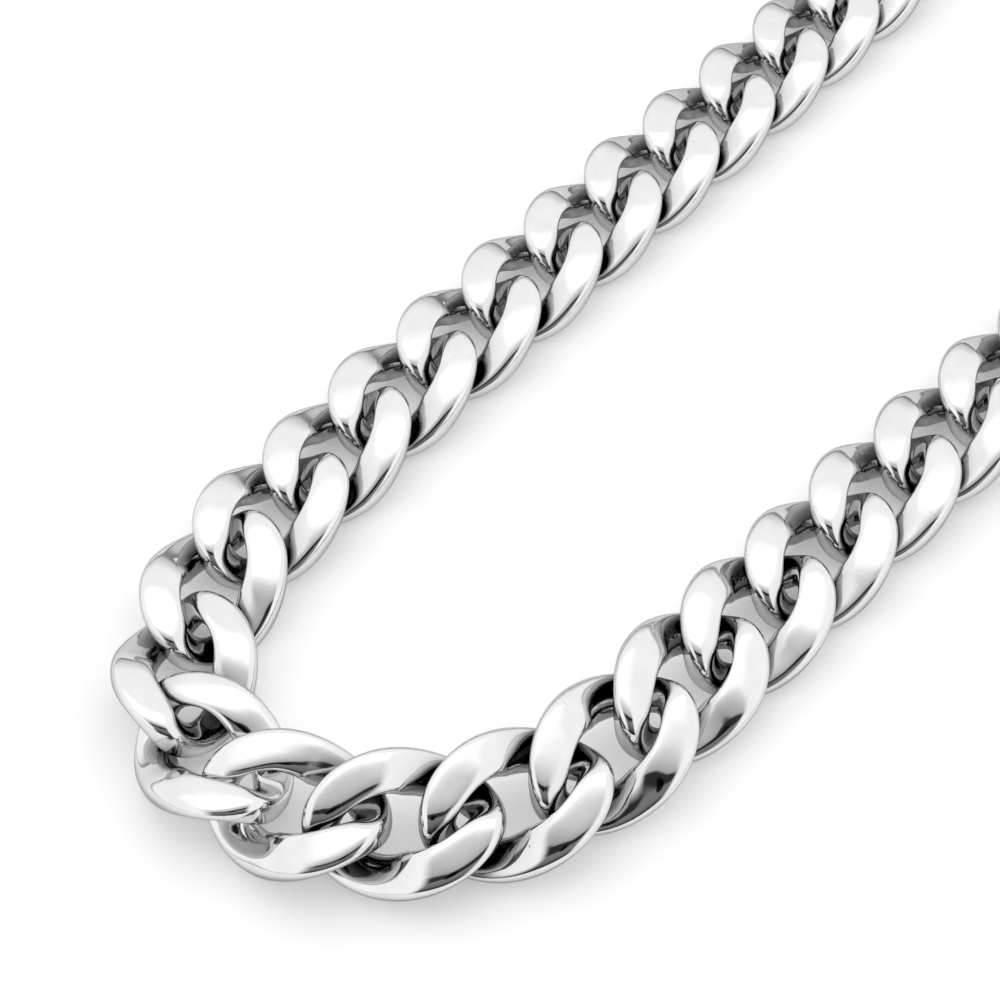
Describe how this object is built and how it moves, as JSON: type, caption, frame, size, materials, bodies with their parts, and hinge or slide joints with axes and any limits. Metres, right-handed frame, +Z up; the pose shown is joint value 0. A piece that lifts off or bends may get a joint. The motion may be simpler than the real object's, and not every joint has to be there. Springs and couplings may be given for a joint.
{
  "type": "curb chain necklace",
  "caption": "Heavy polished steel curb chain necklace lying in a long closed loop, with a plain lobster clasp.",
  "frame": {"origin": "middle of the whole necklace's outline on the table, where its lowest flats rest", "axes": "+Z up off the table; +Y along the loop, from the tight near bend to the clasp; +X to the right strand"},
  "size_m": [0.126, 0.2568, 0.0084],
  "materials": {
    "chain_steel": "polished",
    "ring_steel": "polished",
    "clasp_steel": "polished"
  },
  "bodies": {
    "root": {"chain_left": "chain_steel", "chain_right": "chain_steel", "end_ring_left": "ring_steel", "end_ring_right": "ring_steel", "lobster_clasp": "clasp_steel"}
  },
  "joints": []
}
